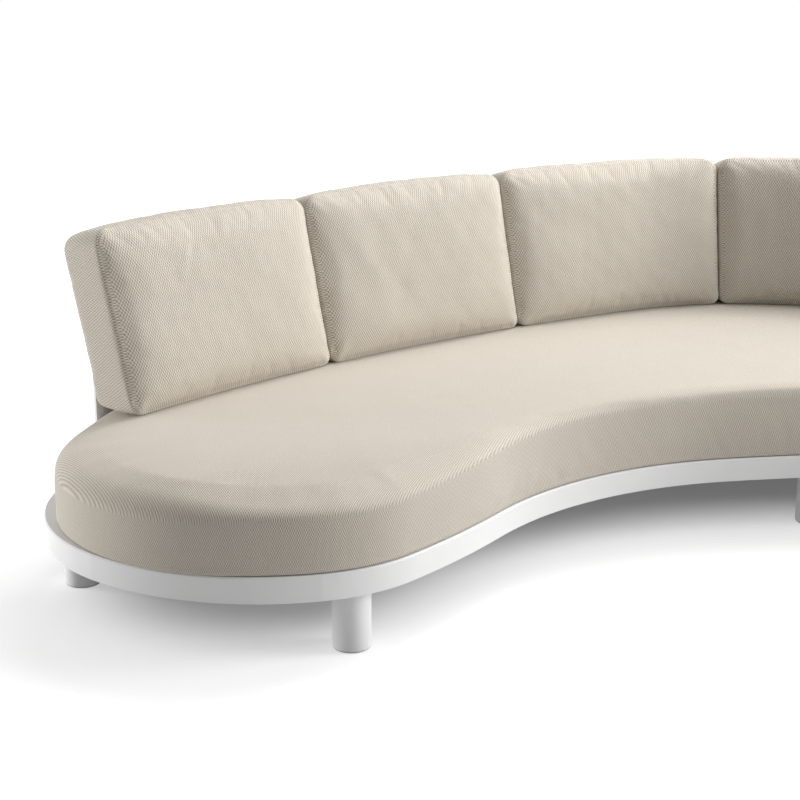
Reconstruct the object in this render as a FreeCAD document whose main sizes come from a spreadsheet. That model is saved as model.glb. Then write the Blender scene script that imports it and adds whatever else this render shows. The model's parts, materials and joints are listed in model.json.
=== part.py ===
import FreeCAD, Part
import math
import os

import Sketcher
from FreeCAD import Placement, Rotation, Vector

# A curved outdoor lounge sofa: a kidney-shaped white metal platform on eight round legs,
# a low curved back panel, one seat cushion and six back cushions that lean on the panel.
# X runs along the width, the seating side faces -Y, and Z = 0 is the floor.
# The plan is symmetric about X = 0. It is measured from the foot line, the curve on the
# seat along which the front faces of the back cushions stand.

doc = FreeCAD.newDocument("CurvedOutdoorSofa")
sheet = doc.addObject("Spreadsheet::Sheet", "Sizes")

sizes = {
    # Foot line of the back cushions
    "back_middle_radius": 743,
    "back_middle_turn": 22.75,
    "wing_radius": 4245,
    # Front edge of the platform, from the axis to the left
    "seat_depth": 998,
    "front_middle_radius": 3200,
    "front_middle_turn": 5,
    "bay_radius": 935,
    "bay_turn": 46,
    "shoulder_radius": 2100,
    "shoulder_turn": 9.3,
    "lobe_inner_radius": 388,
    "lobe_inner_turn": 33.5,
    "lobe_radius": 588,
    "back_ledge": 230,
    # Platform
    "leg_height": 150,
    "skirt_height": 60,
    "skirt_wall": 6,
    "skirt_bevel": 3,
    "deck_sheet": 4,
    "drain_diameter": 12,
    "drain_pitch": 1000,
    "drain_setback": 420,
    "joint_wall": 6,
    "weld_gap": 0.2,
    "rib_width": 40,
    "rib_wall": 2.5,
    # Legs
    "leg_diameter": 88,
    "leg_wall": 3,
    "leg_cap": 8,
    "leg_inset": 76,
    "leg_plate": 8,
    "leg_plate_length": 150,
    "leg_plate_depth": 116,
    "bolt_hole_play": 1,
    "thread_play": 0.1,
    "glide_flange": 4,
    "glide_inset": 2,
    # Joint of the two platform halves
    "joint_bolt_diameter": 10,
    "joint_bolt_rise": 24,
    "joint_bolt_pitch": 700,
    # Back panel
    "panel_front": 185,
    "panel_sheet": 8,
    "panel_height": 358,
    "panel_end": 2100,
    "panel_corner": 60,
    "post_width": 40,
    "post_thickness": 10,
    "post_height": 290,
    "post_foot_width": 100,
    "post_foot_sheet": 6,
    "splice_width": 90,
    "splice_sheet": 6,
    "splice_height": 280,
    # Seat cushion
    "seat_inset": 6,
    "seat_back_play": 4,
    "seat_box_height": 158,
    "seat_crown": 27,
    "seat_crown_width": 90,
    "seat_edge_round": 16,
    "soft_gap": 0.3,
    "wadding": 12,
    "foam_play": 0.5,
    # Back cushions
    "cushion_inner_width": 745,
    "cushion_middle_width": 703,
    "cushion_outer_width": 690,
    "cushion_gap": 3,
    "cushion_height": 460,
    "cushion_thickness": 135,
    "cushion_lean": 14,
    "cushion_front_crown": 20,
    "cushion_top_crown": 12,
    "cushion_seam_round": 16,
    "cushion_heel_round": 32,
    "cushion_corner_round": 46,
    "cushion_edge_round": 18,
}

for row, (alias, value) in enumerate(sizes.items(), start=1):
    sheet.set("A" + str(row), alias)
    sheet.set("B" + str(row), str(value))
    sheet.setAlias("B" + str(row), alias)
doc.recompute()


def size(alias):
    return float(sheet.get(alias))


def turn(alias):
    return math.radians(size(alias))


LEFT, RIGHT = 1, -1
SIDE_NAMES = {LEFT: "left", RIGHT: "right"}


# Plan geometry
class PlanArc:
    """One arc of the plan, from a start angle to an end angle about its centre."""

    def __init__(self, centre, radius, start, end):
        self.centre = centre
        self.radius = radius
        self.start = start
        self.end = end

    def point(self, share):
        angle = self.start + (self.end - self.start) * share
        offset = Vector(math.cos(angle), math.sin(angle), 0)
        return self.centre + offset * self.radius

    def inward(self, share):
        direction = self.point(share) - self.centre
        direction.normalize()
        return direction if self.end > self.start else direction * -1

    def mirrored(self):
        centre = Vector(-self.centre.x, self.centre.y, 0)
        return PlanArc(centre, self.radius, math.pi - self.start, math.pi - self.end)

    def reversed(self):
        return PlanArc(self.centre, self.radius, self.end, self.start)

    def curve(self):
        axis = Vector(0, 0, 1)
        low, high = sorted((self.start, self.end))
        return Part.ArcOfCircle(Part.Circle(self.centre, axis, self.radius), low, high)


def chained(start, heading, steps):
    """Tangent arcs from start; each step is a signed radius, plus for a left turn, and a turn."""
    arcs = []
    point = start
    for radius, angle in steps:
        side = 1 if radius > 0 else -1
        centre = point + Vector(-math.sin(heading), math.cos(heading), 0) * radius
        first = heading - side * math.pi / 2
        arcs.append(PlanArc(centre, abs(radius), first, first + side * angle))
        point = arcs[-1].point(1)
        heading += side * angle
    return arcs, point, heading


def angleOf(point, centre):
    offset = point - centre
    return math.atan2(offset.y, offset.x)


# The lobe's foremost point and the back edge set the depth, and the origin is midway.
def frontSteps(inset):
    return [
        (size("front_middle_radius") + inset, turn("front_middle_turn")),
        (size("bay_radius") + inset, turn("bay_turn")),
        (inset - size("shoulder_radius"), turn("shoulder_turn")),
        (inset - size("lobe_inner_radius"), turn("lobe_inner_turn")),
    ]


def lobeCentre(footY):
    start = Vector(0, footY - size("seat_depth"), 0)
    arcs, point, heading = chained(start, math.pi, frontSteps(0))
    return point + Vector(math.sin(heading), -math.cos(heading), 0) * size("lobe_radius")


FOOT_Y = (size("lobe_radius") - lobeCentre(0).y - size("back_ledge")) / 2
MIDDLE_CENTRE = Vector(0, FOOT_Y - size("back_middle_radius"), 0)
WING_AXIS = Vector(-math.sin(turn("back_middle_turn")), math.cos(turn("back_middle_turn")), 0)
WING_CENTRE = MIDDLE_CENTRE + WING_AXIS * (size("back_middle_radius") - size("wing_radius"))
MIDDLE_LENGTH = size("back_middle_radius") * turn("back_middle_turn")

# The end arc is a share of the largest that fits between the lobe and the wing.
END_ROUND_SHARE = 0.889
END_ROOM = size("lobe_radius") + size("wing_radius") + size("back_ledge")
END_RADIUS = END_ROUND_SHARE * (END_ROOM - (WING_CENTRE - lobeCentre(FOOT_Y)).Length) / 2


def backward(station):
    """Direction square to the foot line, away from the seat, on the left half."""
    if station <= MIDDLE_LENGTH:
        angle = station / size("back_middle_radius")
    else:
        angle = turn("back_middle_turn") + (station - MIDDLE_LENGTH) / size("wing_radius")
    return Vector(-math.sin(angle), math.cos(angle), 0)


def footPoint(station, offset=0):
    """Point at a station along the left half of the foot line, and an offset behind it."""
    out = backward(station)
    if station <= MIDDLE_LENGTH:
        return MIDDLE_CENTRE + out * (size("back_middle_radius") + offset)
    return WING_CENTRE + out * (size("wing_radius") + offset)


ARC_NAMES = ("front_middle", "bay", "shoulder", "lobe_inner", "lobe", "end", "wing", "back_middle")


def halfOutline(inset, ledge):
    """Left half of a platform outline, from the front axis round the end to the back axis."""
    start = Vector(0, FOOT_Y - size("seat_depth") + inset, 0)
    arcs, point, heading = chained(start, math.pi, frontSteps(inset))
    lobeRadius = size("lobe_radius") - inset
    endRadius = END_RADIUS - inset
    wingRadius = size("wing_radius") + ledge
    lobe = point + Vector(math.sin(heading), -math.cos(heading), 0) * lobeRadius
    # The end arc touches the lobe arc and the wing arc from inside.
    lobeReach = lobeRadius - endRadius
    wingReach = wingRadius - endRadius
    span = WING_CENTRE - lobe
    along = (lobeReach ** 2 - wingReach ** 2 + span.Length ** 2) / (2 * span.Length)
    across = math.sqrt(lobeReach ** 2 - along ** 2)
    unit = Vector(span).normalize()
    choices = [lobe + unit * along + Vector(-unit.y, unit.x, 0) * (across * way) for way in (1, -1)]
    end = min(choices, key=lambda centre: centre.x)
    first = angleOf(point, lobe)
    second = angleOf(end, lobe)
    if second > first:
        second -= 2 * math.pi
    third = angleOf(end, WING_CENTRE)
    if third > second:
        third -= 2 * math.pi
    square = angleOf(MIDDLE_CENTRE + WING_AXIS, MIDDLE_CENTRE)
    third = third % (2 * math.pi)
    second = second % (2 * math.pi)
    first = second + (first - angleOf(end, lobe)) % (2 * math.pi)
    arcs.append(PlanArc(lobe, lobeRadius, first, second))
    arcs.append(PlanArc(end, endRadius, second, third))
    arcs.append(PlanArc(WING_CENTRE, wingRadius, third, square))
    arcs.append(PlanArc(MIDDLE_CENTRE, size("back_middle_radius") + ledge, square, math.pi / 2))
    return arcs


def sided(arcs, side):
    return arcs if side == LEFT else [arc.mirrored() for arc in arcs]


def fullOutline(inset, ledge):
    left = halfOutline(inset, ledge)
    return left + [arc.mirrored().reversed() for arc in reversed(left)]


def raisedWire(arcs, height):
    wire = Part.Wire([arc.curve().toShape() for arc in arcs])
    wire.translate(Vector(0, 0, height))
    return wire


# Building blocks
def originPlane(body, role):
    return next(item for item in body.Origin.OriginFeatures if item.Role == role)


def newBody(label):
    body = doc.addObject("PartDesign::Body", label)
    body.Label = label
    return body


def newSketch(body, role, name, heightRule=None):
    sketch = body.newObject("Sketcher::SketchObject", name)
    sketch.AttachmentSupport = (originPlane(body, role), [""])
    sketch.MapMode = "FlatFace"
    if heightRule:
        sketch.setExpression("AttachmentOffset.Base.z", heightRule)
    return sketch


def bind(sketch, index, name, rule):
    sketch.renameConstraint(index, name)
    sketch.setExpression("Constraints." + name, rule)


def drawLoop(sketch, curves, rules=None):
    """Closed loop of arcs and lines in order; rules bind the radii of its arcs to the sheet."""
    ends = []
    for number, curve in enumerate(curves):
        bent = isinstance(curve, PlanArc)
        index = sketch.addGeometry(curve.curve() if bent else curve, False)
        forward = not bent or curve.end > curve.start
        ends.append((index, 1, 2) if forward else (index, 2, 1))
    for this, following in zip(ends, ends[1:] + ends[:1]):
        join = Sketcher.Constraint("Coincident", this[0], this[2], following[0], following[1])
        sketch.addConstraint(join)
    for number, rule in (rules or {}).items():
        index = sketch.addConstraint(Sketcher.Constraint("Radius", ends[number][0], curves[number].radius))
        bind(sketch, index, "radius_" + str(number), rule)


def drawCircles(sketch, centres, diameterRule):
    first = None
    for centre in centres:
        index = sketch.addGeometry(Part.Circle(centre, Vector(0, 0, 1), size("bolt_hole_play")), False)
        if first is None:
            first = index
            rule = sketch.addConstraint(Sketcher.Constraint("Diameter", index, size("bolt_hole_play") * 2))
            bind(sketch, rule, "hole_diameter", diameterRule)
        else:
            sketch.addConstraint(Sketcher.Constraint("Equal", first, index))
        sketch.addConstraint(Sketcher.Constraint("DistanceX", index, 3, centre.x))
        sketch.addConstraint(Sketcher.Constraint("DistanceY", index, 3, centre.y))


def box(name, lengthRule, widthRule, heightRule, placement):
    solid = doc.addObject("Part::Box", name)
    solid.setExpression("Length", lengthRule)
    solid.setExpression("Width", widthRule)
    solid.setExpression("Height", heightRule)
    solid.Placement = placement
    return solid


def cylinder(name, diameterRule, heightRule, placement):
    solid = doc.addObject("Part::Cylinder", name)
    solid.setExpression("Radius", "(" + diameterRule + ") / 2")
    solid.setExpression("Height", heightRule)
    solid.Placement = placement
    return solid


def combined(kind, name, base, tool):
    result = doc.addObject("Part::" + kind, name)
    result.Base = base
    result.Tool = tool
    return result


def gathered(name, links):
    group = doc.addObject("Part::Compound", name)
    group.Label = name
    group.Links = links
    return group


def pad(body, sketch, name, lengthRule, reverse=False):
    feature = body.newObject("PartDesign::Pad", name)
    feature.Profile = sketch
    feature.setExpression("Length", lengthRule)
    feature.Reversed = reverse
    return feature


def pocketThrough(body, sketch, name):
    doc.recompute()
    before = body.Shape.Volume
    feature = body.newObject("PartDesign::Pocket", name)
    feature.Profile = sketch
    feature.Type = "ThroughAll"
    doc.recompute()
    if body.Shape.Volume >= before:
        raise RuntimeError(name + " cuts nothing")
    return feature


def halfRules(insetRule, ledgeRule):
    """Radius rules of a half outline, in the order of its arcs."""
    return [
        "Sizes.front_middle_radius + " + insetRule,
        "Sizes.bay_radius + " + insetRule,
        "Sizes.shoulder_radius - " + insetRule,
        "Sizes.lobe_inner_radius - " + insetRule,
        "Sizes.lobe_radius - " + insetRule,
        str(END_RADIUS) + " - " + insetRule,
        "Sizes.wing_radius + " + ledgeRule,
        "Sizes.back_middle_radius + " + ledgeRule,
    ]


def placedCopies(label, master, placements):
    """One node of separate, identical pieces."""
    doc.recompute()
    shapes = []
    for placement in placements:
        for solid in master.Shape.Solids:
            copy = solid.copy()
            copy.Placement = placement.multiply(copy.Placement)
            shapes.append(copy)
    group = doc.addObject("Part::Feature", label)
    group.Label = label
    group.Shape = Part.makeCompound(shapes)
    return group


def upright(point, height, angle):
    """Placement with a turn about Z."""
    return Placement(Vector(point.x, point.y, height), Rotation(Vector(0, 0, 1), math.degrees(angle)))


TOUCH = 0.01
BAND_TOP_RULE = "Sizes.leg_height + Sizes.skirt_height"
BAND_TOP = size("leg_height") + size("skirt_height")
RIB_FLOOR_RULE = "Sizes.leg_height + Sizes.leg_plate"
RIB_FLOOR = size("leg_height") + size("leg_plate")
RIB_HEIGHT_RULE = "Sizes.skirt_height - Sizes.deck_sheet - Sizes.leg_plate"
INNER_INSET = size("skirt_wall")
INNER_LEDGE = size("back_ledge") - size("skirt_wall")
WELD_INSET = size("skirt_wall") + size("weld_gap")
WELD_LEDGE = size("back_ledge") - WELD_INSET


# Places that several pieces share
def outlinePoint(arcName, share, side):
    """Point of the outer edge, moved in by the leg inset."""
    arc = halfOutline(0, size("back_ledge"))[ARC_NAMES.index(arcName)]
    point = arc.point(share) + arc.inward(share) * size("leg_inset")
    return Vector(point.x * side, point.y, 0)


LOBE_LEG_SHARE, END_LEG_SHARE, BACK_LEG_SHARE = 0.55, 0.547, 0.48


def legSpots():
    """Name, centre and direction of the rib above each leg."""
    front = Vector(0, FOOT_Y - size("seat_depth") + size("leg_inset"), 0)
    back = Vector(0, FOOT_Y + size("back_ledge") - size("leg_inset"), 0)
    spots = [("leg_centre_front", front, math.pi / 2), ("leg_centre_back", back, math.pi / 2)]
    for side, word in SIDE_NAMES.items():
        lobe = outlinePoint("lobe_inner", LOBE_LEG_SHARE, side)
        end = outlinePoint("end", END_LEG_SHARE, side)
        rear = outlinePoint("wing", BACK_LEG_SHARE, side)
        spots.append(("leg_lobe_" + word, lobe, angleOf(rear, lobe)))
        spots.append(("leg_end_" + word, end, angleOf((lobe + rear) * 0.5, end)))
        spots.append(("leg_back_" + word, rear, angleOf(lobe, rear)))
    return spots


LEGS = {name: (centre, angle) for name, centre, angle in legSpots()}


POST_SHARES = (0.2, 0.5, 0.92)
LEDGE_BEHIND_PANEL = size("back_ledge") - size("skirt_wall") - size("panel_front") - size("panel_sheet")


def postPlacements(side):
    """Places on the deck behind the panel; local Y points away from the seat."""
    places = []
    for share in POST_SHARES:
        station = size("panel_end") * share
        point = footPoint(station, size("panel_front") + size("panel_sheet"))
        out = backward(station)
        angle = math.atan2(out.y, out.x * side) - math.pi / 2
        places.append(upright(Vector(point.x * side, point.y, 0), BAND_TOP, angle))
    return places


# Platform: the upright skirt band, the deck sheet inside it and the walls at the joint
def skirt(side):
    body = newBody("skirt_" + SIDE_NAMES[side])
    outer = sided(halfOutline(0, size("back_ledge")), side)
    inner = [arc.reversed() for arc in reversed(sided(halfOutline(INNER_INSET, INNER_LEDGE), side))]
    backEnd = Part.LineSegment(outer[-1].point(1), inner[0].point(0))
    frontEnd = Part.LineSegment(inner[-1].point(1), outer[0].point(0))
    sketch = newSketch(body, "XY_Plane", body.Label + "_outline", "Sizes.leg_height")
    rules = dict(enumerate(halfRules("0", "Sizes.back_ledge")))
    innerRules = halfRules("Sizes.skirt_wall", "Sizes.back_ledge - Sizes.skirt_wall")
    for number, rule in enumerate(reversed(innerRules)):
        rules[len(outer) + 1 + number] = rule
    drawLoop(sketch, outer + [backEnd] + inner + [frontEnd], rules)
    band = pad(body, sketch, body.Label + "_band", "Sizes.skirt_height")
    doc.recompute()
    names = []
    for number, edge in enumerate(band.Shape.Edges, start=1):
        if abs(edge.BoundBox.ZMin - BAND_TOP) > TOUCH or not isinstance(edge.Curve, Part.Circle):
            continue
        for arc in outer:
            shift = Vector(edge.Curve.Center.x, edge.Curve.Center.y, 0) - arc.centre
            if abs(edge.Curve.Radius - arc.radius) < TOUCH and shift.Length < TOUCH:
                names.append("Edge" + str(number))
                break
    bevel = body.newObject("PartDesign::Chamfer", body.Label + "_bevel")
    bevel.Base = (band, names)
    bevel.setExpression("Size", "Sizes.skirt_bevel")
    return body


def drainSpots(side):
    count = int(size("panel_end") / size("drain_pitch"))
    spots = [footPoint(size("drain_pitch") * (n + 0.5), -size("drain_setback")) for n in range(count)]
    return [Vector(spot.x * side, spot.y, 0) for spot in spots]


def deck(side):
    body = newBody("deck_" + SIDE_NAMES[side])
    outline = sided(halfOutline(INNER_INSET, INNER_LEDGE), side)
    axisEnd = Part.LineSegment(outline[-1].point(1), outline[0].point(0))
    level = BAND_TOP_RULE + " - Sizes.deck_sheet"
    sketch = newSketch(body, "XY_Plane", body.Label + "_outline", level)
    rules = halfRules("Sizes.skirt_wall", "Sizes.back_ledge - Sizes.skirt_wall")
    drawLoop(sketch, outline + [axisEnd], dict(enumerate(rules)))
    pad(body, sketch, body.Label + "_sheet", "Sizes.deck_sheet")
    drains = newSketch(body, "XY_Plane", body.Label + "_drains", BAND_TOP_RULE)
    drawCircles(drains, drainSpots(side), "Sizes.drain_diameter")
    pocketThrough(body, drains, body.Label + "_drain_holes")
    return body


def jointBoltSpots():
    """Heights and places of the bolts that hold the two halves together."""
    front = FOOT_Y - size("seat_depth") + WELD_INSET
    back = FOOT_Y + WELD_LEDGE
    count = int((back - front) / size("joint_bolt_pitch")) + 1
    first = (front + back) / 2 - size("joint_bolt_pitch") * (count - 1) / 2
    height = RIB_FLOOR + size("joint_bolt_rise")
    return [Vector(0, first + size("joint_bolt_pitch") * n, height) for n in range(count)]


def jointWall(side):
    front = FOOT_Y - size("seat_depth") + WELD_INSET
    name = "joint_wall_" + SIDE_NAMES[side]
    corner = Vector(-size("joint_wall") if side == LEFT else 0, front, RIB_FLOOR)
    lengthRule = "Sizes.seat_depth + Sizes.back_ledge - 2 * (Sizes.skirt_wall + Sizes.weld_gap)"
    place = Placement(corner, Rotation())
    wall = box(name + "_sheet", "Sizes.joint_wall", lengthRule, RIB_HEIGHT_RULE, place)
    holes = []
    across = Rotation(Vector(0, 1, 0), 90)
    for number, spot in enumerate(jointBoltSpots(), start=1):
        start = spot - Vector(size("joint_wall") * 2, 0, 0)
        hole = cylinder(name + "_hole_" + str(number), "Sizes.joint_bolt_diameter + Sizes.bolt_hole_play",
                        "4 * Sizes.joint_wall", Placement(start, across))
        holes.append(hole)
    drilled = combined("Cut", name, wall, gathered(name + "_holes", holes))
    drilled.Label = name
    return drilled


# Bolts: a hexagon head, a plain shank and, where there is one, a nut
HEAD_SHARE, HEX_SHARE, NUT_SHARE = 0.64, 1.75, 0.8


def hexagon(name, diameter, height, base):
    solid = doc.addObject("Part::Prism", name)
    solid.Polygon = 6
    solid.setExpression("Circumradius", diameter + " * " + str(HEX_SHARE / 2))
    solid.setExpression("Height", height)
    solid.setExpression("Placement.Base.z", base)
    return solid


def bolt(name, diameter, lengthRule):
    """Bolt along Z with the underside of its head at Z = 0."""
    shank = cylinder(name + "_shank", diameter, lengthRule, Placement())
    shank.setExpression("Placement.Base.z", "-(" + lengthRule + ")")
    head = hexagon(name + "_head", diameter, diameter + " * " + str(HEAD_SHARE), "0")
    return combined("Fuse", name, head, shank)


def nut(name, diameter, depthRule):
    """Nut whose upper face lies below Z = 0 by the depth."""
    height = diameter + " * " + str(NUT_SHARE)
    outside = hexagon(name + "_outside", diameter, height, "-(" + depthRule + ") - " + height)
    boreRule = diameter + " + 2 * Sizes.thread_play"
    bore = cylinder(name + "_bore", boreRule, "4 * (" + height + ")", Placement())
    bore.setExpression("Placement.Base.z", "-(" + depthRule + ") - 2 * " + height)
    return combined("Cut", name, outside, bore)


# Underframe: rectangular tubes from leg to leg, trimmed to the inside of the skirt
def interior(name, height, depthRule):
    """Block that fills the inside of the skirt, used to trim what is welded there."""
    face = doc.addObject("Part::Feature", name + "_outline")
    face.Shape = Part.Face(raisedWire(fullOutline(WELD_INSET, WELD_LEDGE), height))
    block = doc.addObject("Part::Extrusion", name)
    block.Base = face
    block.DirMode = "Custom"
    block.Dir = Vector(0, 0, 1)
    block.setExpression("LengthFwd", depthRule)
    block.Solid = True
    return block


def ribPlacement(start, angle, width):
    sideways = Vector(math.sin(angle), -math.cos(angle), 0) * (width / 2)
    return upright(start + sideways, RIB_FLOOR, angle)


def ribTube(name, start, end, room):
    """Hollow tube along the line between two points, trimmed to the skirt."""
    angle = angleOf(end, start)
    lengthRule = str((end - start).Length)
    outside = box(name + "_outside", lengthRule, "Sizes.rib_width", RIB_HEIGHT_RULE,
                  ribPlacement(start, angle, size("rib_width")))
    insidePlace = ribPlacement(start, angle, size("rib_width") - 2 * size("rib_wall"))
    insidePlace.Base.z += size("rib_wall")
    inside = box(name + "_inside", lengthRule, "Sizes.rib_width - 2 * Sizes.rib_wall",
                 RIB_HEIGHT_RULE + " - 2 * Sizes.rib_wall", insidePlace)
    tube = combined("Cut", name + "_tube", outside, inside)
    return combined("Common", name, tube, room)


def stretched(start, end, before, after):
    """The same line, run on at either end."""
    along = (end - start).normalize()
    return start - along * before, end + along * after


def ribs(side, room):
    word = SIDE_NAMES[side]
    lobe = LEGS["leg_lobe_" + word][0]
    end = LEGS["leg_end_" + word][0]
    rear = LEGS["leg_back_" + word][0]
    beyond = 2 * size("leg_inset")
    main = ribTube("main_rib_" + word, *stretched(lobe, rear, beyond, beyond), room)
    branch = ribTube("branch_rib_" + word, *stretched((lobe + rear) / 2, end, 0, beyond), room)
    mainOutside = doc.getObject("main_rib_" + word + "_outside")
    trimmed = combined("Cut", "branch_rib_end_" + word, branch, mainOutside)
    sole = footPoint(size("cushion_inner_width"), size("back_ledge"))
    tip = footPoint(size("cushion_inner_width"), -size("seat_depth"))
    sole.x, tip.x = sole.x * side, tip.x * side
    short = ribTube("short_rib_" + word, tip, sole, room)
    return gathered("ribs_" + word, [main, trimmed, short])


def legPlate(name, centre, angle, room):
    half = Vector(size("leg_plate_length") / 2, size("leg_plate_depth") / 2, 0)
    turned = Rotation(Vector(0, 0, 1), math.degrees(angle) + 90)
    corner = centre - turned.multVec(half)
    corner.z = size("leg_height")
    blank = box(name + "_blank", "Sizes.leg_plate_length", "Sizes.leg_plate_depth", "Sizes.leg_plate",
                Placement(corner, turned))
    return combined("Common", name, blank, room)


# Legs: round tubes with a thick cap that is welded to the plate, open below and on glides
def leg():
    name = "leg_pattern"
    body = newBody(name)
    outline = newSketch(body, "XY_Plane", name + "_outline", "Sizes.glide_flange")
    drawCircles(outline, [Vector(0, 0, 0)], "Sizes.leg_diameter")
    pad(body, outline, name + "_tube", "Sizes.leg_height - Sizes.glide_flange")
    bore = newSketch(body, "XY_Plane", name + "_bore_outline", "Sizes.leg_height - Sizes.leg_cap")
    drawCircles(bore, [Vector(0, 0, 0)], "Sizes.leg_diameter - 2 * Sizes.leg_wall")
    pocketThrough(body, bore, name + "_bore")
    return body


def glide():
    """Plastic disc that closes the tube."""
    diameterRule = "Sizes.leg_diameter - 2 * Sizes.glide_inset"
    return cylinder("glide_pattern", diameterRule, "Sizes.glide_flange", Placement())


# Back panel: a curved sheet in two halves, with a splice bar where they meet
def panel(side):
    name = "back_panel_" + SIDE_NAMES[side]
    body = newBody(name)
    arcs = []
    for offset in (size("panel_front"), size("panel_front") + size("panel_sheet")):
        endPoint = footPoint(size("panel_end"), offset)
        wing = PlanArc(WING_CENTRE, size("wing_radius") + offset, angleOf(endPoint, WING_CENTRE),
                       angleOf(WING_CENTRE + WING_AXIS, WING_CENTRE))
        middle = PlanArc(MIDDLE_CENTRE, size("back_middle_radius") + offset, wing.end, math.pi / 2)
        arcs.append(sided([wing, middle], side))
    front, rear = arcs[0], [arc.reversed() for arc in reversed(arcs[1])]
    axisEnd = Part.LineSegment(front[-1].point(1), rear[0].point(0))
    outerEnd = Part.LineSegment(rear[-1].point(1), front[0].point(0))
    sketch = newSketch(body, "XY_Plane", name + "_outline", BAND_TOP_RULE)
    rearRule = " + Sizes.panel_front + Sizes.panel_sheet"
    rules = {0: "Sizes.wing_radius + Sizes.panel_front", 1: "Sizes.back_middle_radius + Sizes.panel_front",
             3: "Sizes.back_middle_radius" + rearRule, 4: "Sizes.wing_radius" + rearRule}
    drawLoop(sketch, front + [axisEnd] + rear + [outerEnd], rules)
    sheetPad = pad(body, sketch, name + "_sheet", "Sizes.panel_height")
    doc.recompute()
    top = BAND_TOP + size("panel_height")
    middle = (outerEnd.StartPoint + outerEnd.EndPoint) * 0.5
    corner = [
        "Edge" + str(number) for number, edge in enumerate(sheetPad.Shape.Edges, start=1)
        if (edge.CenterOfMass - Vector(middle.x, middle.y, top)).Length < size("panel_sheet") / 2
    ]
    rounding = body.newObject("PartDesign::Fillet", name + "_corner")
    rounding.Base = (sheetPad, corner)
    rounding.setExpression("Radius", "Sizes.panel_corner")
    return body


def splice():
    name = "panel_splice"
    body = newBody(name)
    inner = size("back_middle_radius") + size("panel_front") + size("panel_sheet")
    half = size("splice_width") / 2 / inner
    low, high = math.pi / 2 - half, math.pi / 2 + half
    front = PlanArc(MIDDLE_CENTRE, inner, high, low)
    rear = PlanArc(MIDDLE_CENTRE, inner + size("splice_sheet"), low, high)
    ends = [Part.LineSegment(front.point(1), rear.point(0)), Part.LineSegment(rear.point(1), front.point(0))]
    sketch = newSketch(body, "XY_Plane", name + "_outline", BAND_TOP_RULE)
    base = "Sizes.back_middle_radius + Sizes.panel_front + Sizes.panel_sheet"
    drawLoop(sketch, [front, ends[0], rear, ends[1]], {0: base, 2: base + " + Sizes.splice_sheet"})
    pad(body, sketch, name + "_bar", "Sizes.splice_height")
    return body


def post():
    """Upright bar behind the panel on a welded foot; local Y points away from the panel."""
    body = newBody("post_pattern")
    halfFoot = size("post_foot_width") / 2
    halfPost = size("post_width") / 2

    def plate(name, half, depth, rule):
        corners = [Vector(-half, 0, 0), Vector(half, 0, 0), Vector(half, depth, 0), Vector(-half, depth, 0)]
        lines = [Part.LineSegment(a, b) for a, b in zip(corners, corners[1:] + corners[:1])]
        sketch = newSketch(body, "XY_Plane", name + "_outline")
        drawLoop(sketch, lines)
        return pad(body, sketch, name, rule)

    plate("post_foot", halfFoot, LEDGE_BEHIND_PANEL, "Sizes.post_foot_sheet")
    plate("post_bar", halfPost, size("post_thickness"), "Sizes.post_height")
    return body


# Seat cushion: a boxed side with a soft lower edge and a crowned top, round a foam block
# Each ring of the crown is a share of its height and a share of its width.
SEAT_BASE = BAND_TOP + size("soft_gap")
SEAT_CROWN_SHARES = [(0, 0), (0.68, 0.2), (1, 1)]
FOAM_RUN_DEGREES = 9


def seatOutline(inset):
    ledge = size("panel_front") - size("seat_back_play") - inset
    return fullOutline(size("seat_inset") + inset, ledge)


def seatRing(height, inset):
    return raisedWire(seatOutline(inset), SEAT_BASE + height)


def foamRing(height, inset):
    """The same ring in straight runs, as foam is cut."""
    places = []
    for arc in seatOutline(inset):
        runs = math.ceil(abs(arc.end - arc.start) / math.radians(FOAM_RUN_DEGREES))
        places += [arc.point(number / runs) for number in range(runs)]
    wire = Part.makePolygon(places + places[:1])
    wire.translate(Vector(0, 0, SEAT_BASE + height))
    return wire


def lofted(name, wires):
    sections = []
    for number, wire in enumerate(wires, start=1):
        section = doc.addObject("Part::Feature", name + "_section_" + str(number))
        section.Shape = wire
        sections.append(section)
    loft = doc.addObject("Part::Loft", name)
    loft.Label = name
    loft.Sections = sections
    loft.Solid = True
    loft.Ruled = True
    return loft


def seatCushion():
    edge = size("seat_edge_round")
    rings = [seatRing(0, edge), seatRing(edge, 0)]
    for rise, draw in SEAT_CROWN_SHARES:
        height = size("seat_box_height") + size("seat_crown") * rise
        rings.append(seatRing(height, size("seat_crown_width") * draw))
    outside = lofted("seat_outside", rings)
    blocks = []
    foamSkin = size("wadding") + size("foam_play")
    for name, skin in (("seat_hollow", size("wadding")), ("seat_cushion_foam", foamSkin)):
        levels = (skin, size("seat_box_height") - skin + size("wadding"))
        blocks.append(lofted(name, [foamRing(level, skin) for level in levels]))
    return combined("Cut", "seat_cushion_cover", outside, blocks[0]), blocks[1]


# Back cushions: profiles square to the foot line, leaning back
CUSHION_BASE = SEAT_BASE + size("seat_box_height") + size("seat_crown") + size("soft_gap")
LEAN = turn("cushion_lean")


def corners(inset, top):
    """Front bottom, front top, rear top and rear bottom of a profile with a level sole."""
    front, rear = inset, size("cushion_thickness") - inset

    def sole(depth):
        return (inset + depth * math.sin(LEAN)) / math.cos(LEAN)

    return [(front, sole(front)), (front, top), (rear, top), (rear, sole(rear))]


def placed(station, point, side):
    """A point of the leaning profile at a station, from its depth and its rise."""
    depth, rise = point
    across = depth * math.cos(LEAN) + rise * math.sin(LEAN)
    flat = footPoint(station) + backward(station) * across
    height = CUSHION_BASE - depth * math.sin(LEAN) + rise * math.cos(LEAN)
    return Vector(flat.x * side, flat.y, height)


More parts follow.
